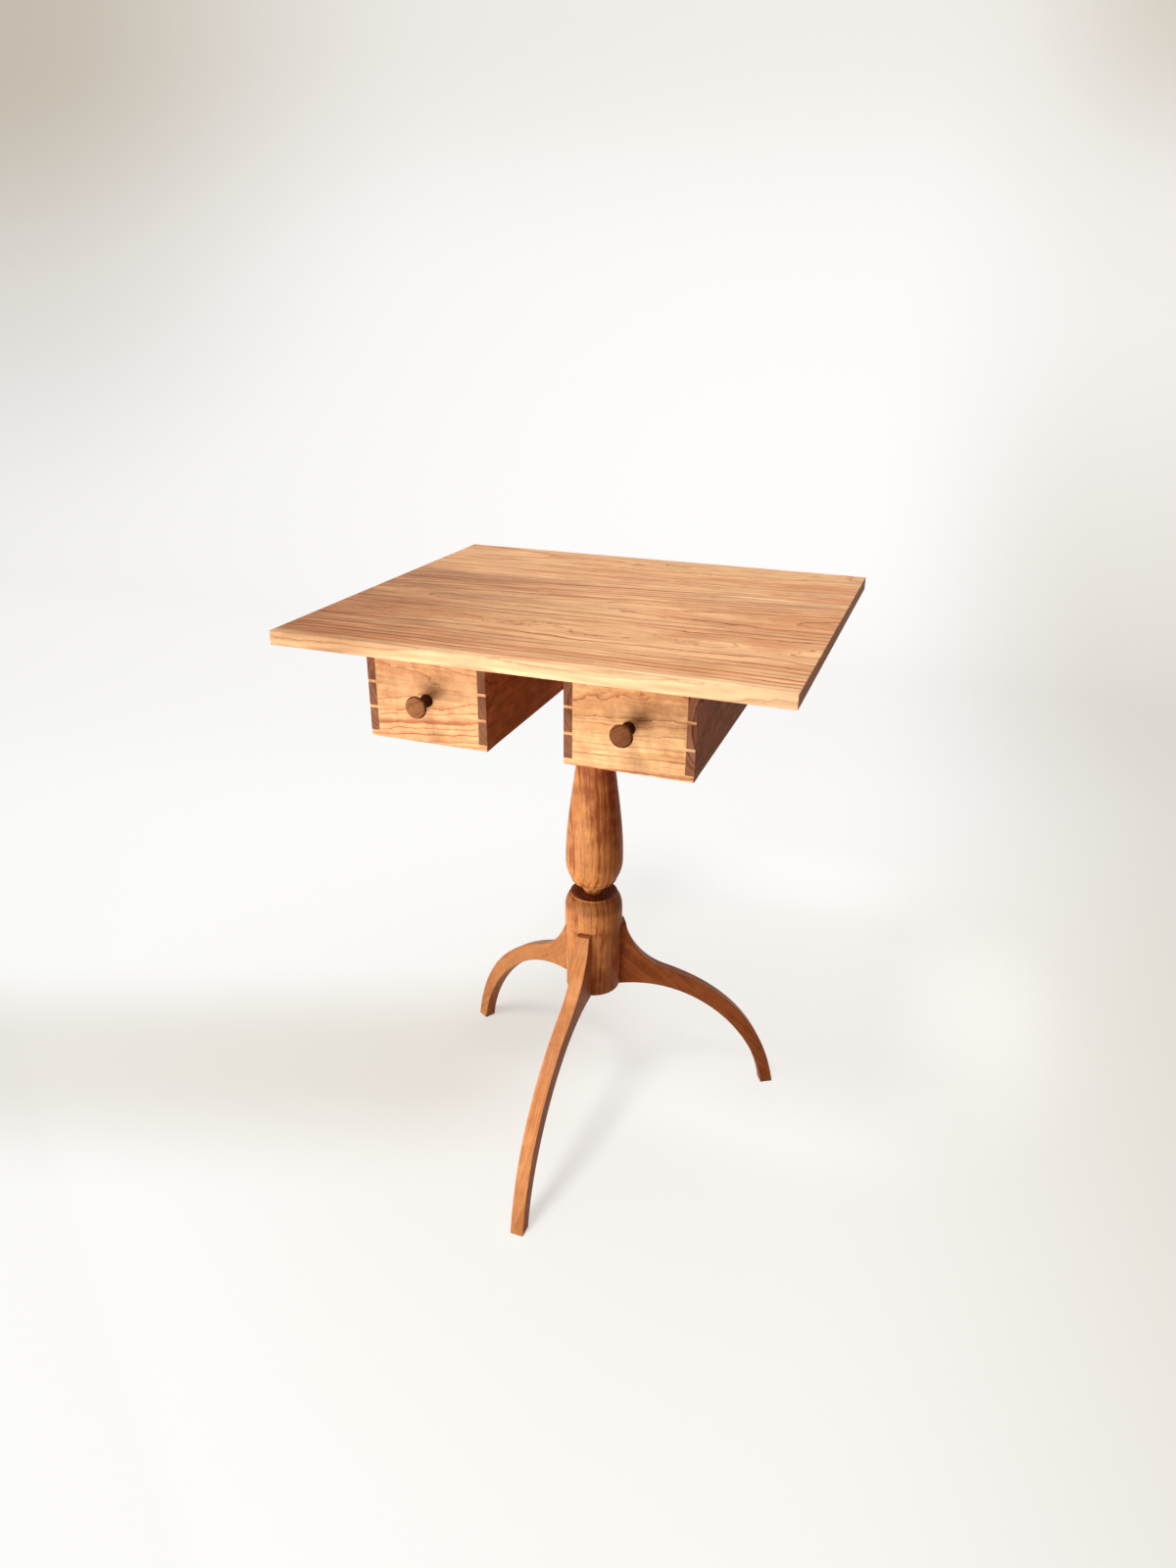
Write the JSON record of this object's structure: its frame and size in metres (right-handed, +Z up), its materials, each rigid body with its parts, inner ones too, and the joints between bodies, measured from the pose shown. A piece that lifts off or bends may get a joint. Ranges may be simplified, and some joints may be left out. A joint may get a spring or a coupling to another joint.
{
  "type": "sewing stand",
  "caption": "Small wooden sewing stand: a flat rectangular top on a turned post with curved tripod legs, and dovetailed drawers with turned knobs sliding on runners under the top.",
  "frame": {"origin": "on the floor, under the middle of the stand's outer box; the post's axis is 11 mm behind it, at y = +0.011", "axes": "+Z up; -Y is the front, where the knobs are and towards which the drawers open; +X is to the right seen from the front"},
  "size_m": [0.56, 0.52, 0.732],
  "materials": {
    "cherry": "oiled cherry, satin",
    "turned_cherry": "oiled cherry, turned and sawn, satin",
    "walnut": "oiled walnut, satin",
    "brass": "dull brass"
  },
  "bodies": {
    "stand": {"top_board_front": "cherry", "top_board_middle": "cherry", "top_board_rear": "cherry", "yoke": "cherry", "left_runner": "cherry", "right_runner": "cherry", "post": "turned_cherry", "front_leg": "turned_cherry", "right_leg": "turned_cherry", "left_leg": "turned_cherry", "post_wedge": "walnut", "left_runner_screw_front": "brass", "left_runner_screw_middle": "brass", "left_runner_screw_rear": "brass", "right_runner_screw_front": "brass", "right_runner_screw_middle": "brass", "right_runner_screw_rear": "brass", "yoke_screw_left_front": "brass", "yoke_screw_left_rear": "brass", "yoke_screw_right_front": "brass", "yoke_screw_right_rear": "brass"},
    "left_drawer": {"left_drawer_front": "cherry", "left_drawer_inner_side": "walnut", "left_drawer_outer_side": "walnut", "left_drawer_back": "walnut", "left_drawer_bottom": "cherry", "left_drawer_knob": "walnut", "left_drawer_inner_lip": "walnut", "left_drawer_outer_lip": "walnut", "left_drawer_bottom_screw": "brass"},
    "right_drawer": {"right_drawer_front": "cherry", "right_drawer_inner_side": "walnut", "right_drawer_outer_side": "walnut", "right_drawer_back": "walnut", "right_drawer_bottom": "cherry", "right_drawer_knob": "walnut", "right_drawer_inner_lip": "walnut", "right_drawer_outer_lip": "walnut", "right_drawer_bottom_screw": "brass"}
  },
  "joints": [
    {"name": "left_drawer_slide", "type": "slide", "parent": "stand", "child": "left_drawer", "axis": [0, -1, 0], "range_m": [0, 0.3]},
    {"name": "right_drawer_slide", "type": "slide", "parent": "stand", "child": "right_drawer", "axis": [0, -1, 0], "range_m": [0, 0.3]}
  ]
}
